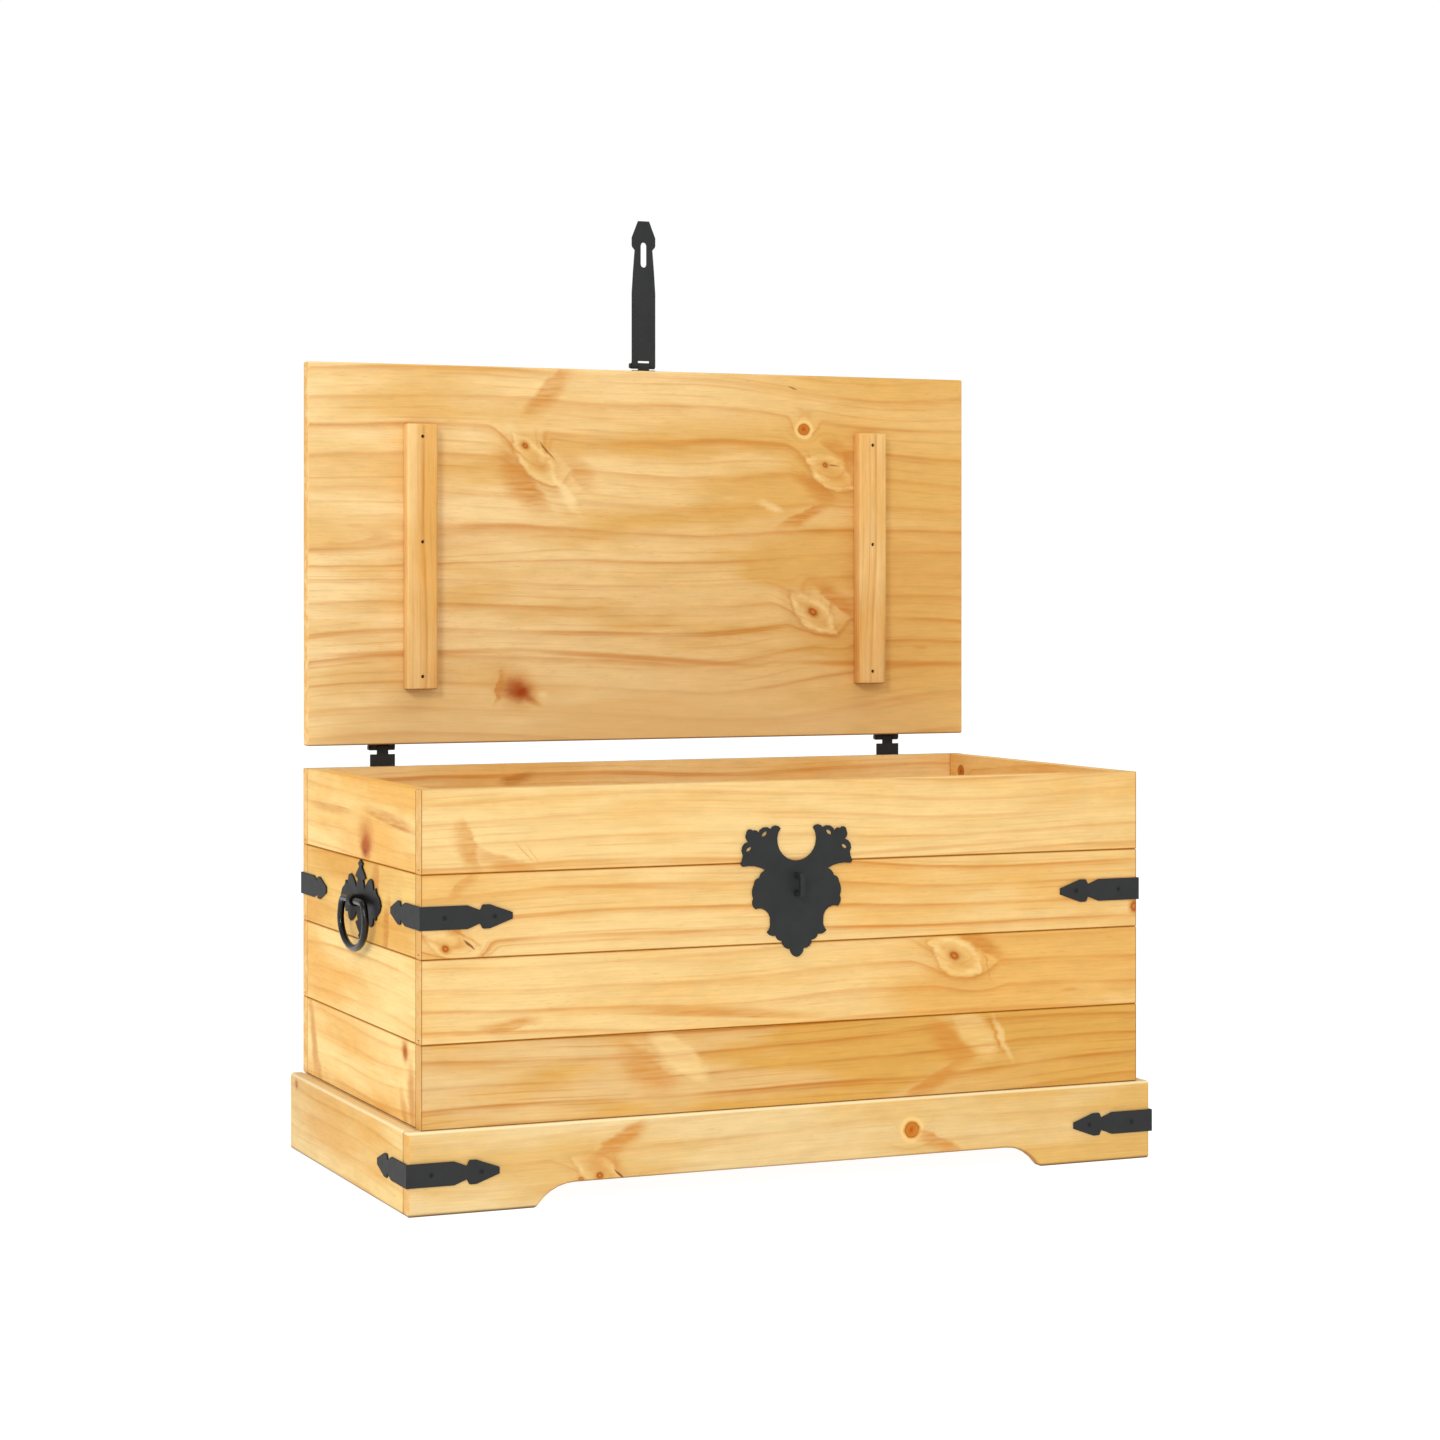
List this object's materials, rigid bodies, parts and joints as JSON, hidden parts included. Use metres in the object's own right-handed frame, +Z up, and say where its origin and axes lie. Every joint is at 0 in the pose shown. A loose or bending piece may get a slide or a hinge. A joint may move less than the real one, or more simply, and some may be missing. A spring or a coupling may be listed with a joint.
{
  "type": "storage chest",
  "caption": "Pine storage chest with board walls, an arched plinth, a hinged lid standing open, black iron hinges, corner straps, hasp, staple, lock plate and swinging side handles.",
  "frame": {"origin": "on the floor, under the middle of the box that holds the chest as it stands with its lid open", "axes": "+X to the right along the chest's width, +Y from the front to the back, +Z up"},
  "size_m": [0.9146, 0.4829, 1.128],
  "materials": {
    "pine": "honey-coloured satin lacquer",
    "pine_pale": "unlacquered pine, inside and under the chest",
    "iron": "matt black"
  },
  "bodies": {
    "chest": {"plinth_front": "pine", "plinth_left": "pine", "plinth_right": "pine", "plinth_back": "pine", "rail_left": "pine_pale", "rail_right": "pine_pale", "rail_front": "pine_pale", "rail_back": "pine_pale", "bottom_board": "pine_pale", "front_board_1": "pine", "front_board_2": "pine", "front_board_3": "pine", "front_board_4": "pine", "back_board_1": "pine", "back_board_2": "pine", "back_board_3": "pine", "back_board_4": "pine", "left_board_1": "pine", "left_board_2": "pine", "left_board_3": "pine", "left_board_4": "pine", "right_board_1": "pine", "right_board_2": "pine", "right_board_3": "pine", "right_board_4": "pine", "hinge_back_leaf_left": "iron", "hinge_back_leaf_right": "iron", "lock_plate": "iron", "staple": "iron", "strap_front_left": "iron", "strap_front_right": "iron", "strap_back_left": "iron", "strap_back_right": "iron", "strap_plinth_left": "iron", "strap_plinth_right": "iron", "handle_plate_left": "iron", "handle_plate_right": "iron"},
    "lid": {"lid_panel": "pine", "batten_left": "pine", "batten_right": "pine", "batten_screw_left_1": "iron", "batten_screw_left_2": "iron", "batten_screw_left_3": "iron", "batten_screw_right_1": "iron", "batten_screw_right_2": "iron", "batten_screw_right_3": "iron", "hinge_lid_leaf_left": "iron", "hinge_lid_leaf_right": "iron", "hinge_pin_left": "iron", "hinge_pin_right": "iron", "hasp_plate": "iron", "hasp_pin": "iron"},
    "hasp": {"hasp_strap": "iron"},
    "bail_left": {"handle_bail_left": "iron"},
    "bail_right": {"handle_bail_right": "iron"}
  },
  "joints": [
    {"name": "lid_hinge", "type": "hinge", "parent": "chest", "child": "lid", "pos_m": [0, 0.2377, 0.4764], "axis": [1, 0, 0], "range_deg": [-90, 90]},
    {"name": "hasp_hinge", "type": "hinge", "parent": "lid", "child": "hasp", "pos_m": [0, 0.2377, 0.947], "axis": [1, 0, 0], "range_deg": [-181, 90]},
    {"name": "bail_left_swing", "type": "hinge", "parent": "chest", "child": "bail_left", "pos_m": [-0.4498, -0.0079, 0.3177], "axis": [0, 1, 0], "range_deg": [-3, 183]},
    {"name": "bail_right_swing", "type": "hinge", "parent": "chest", "child": "bail_right", "pos_m": [0.4498, -0.0079, 0.3177], "axis": [0, -1, 0], "range_deg": [-3, 183]}
  ]
}
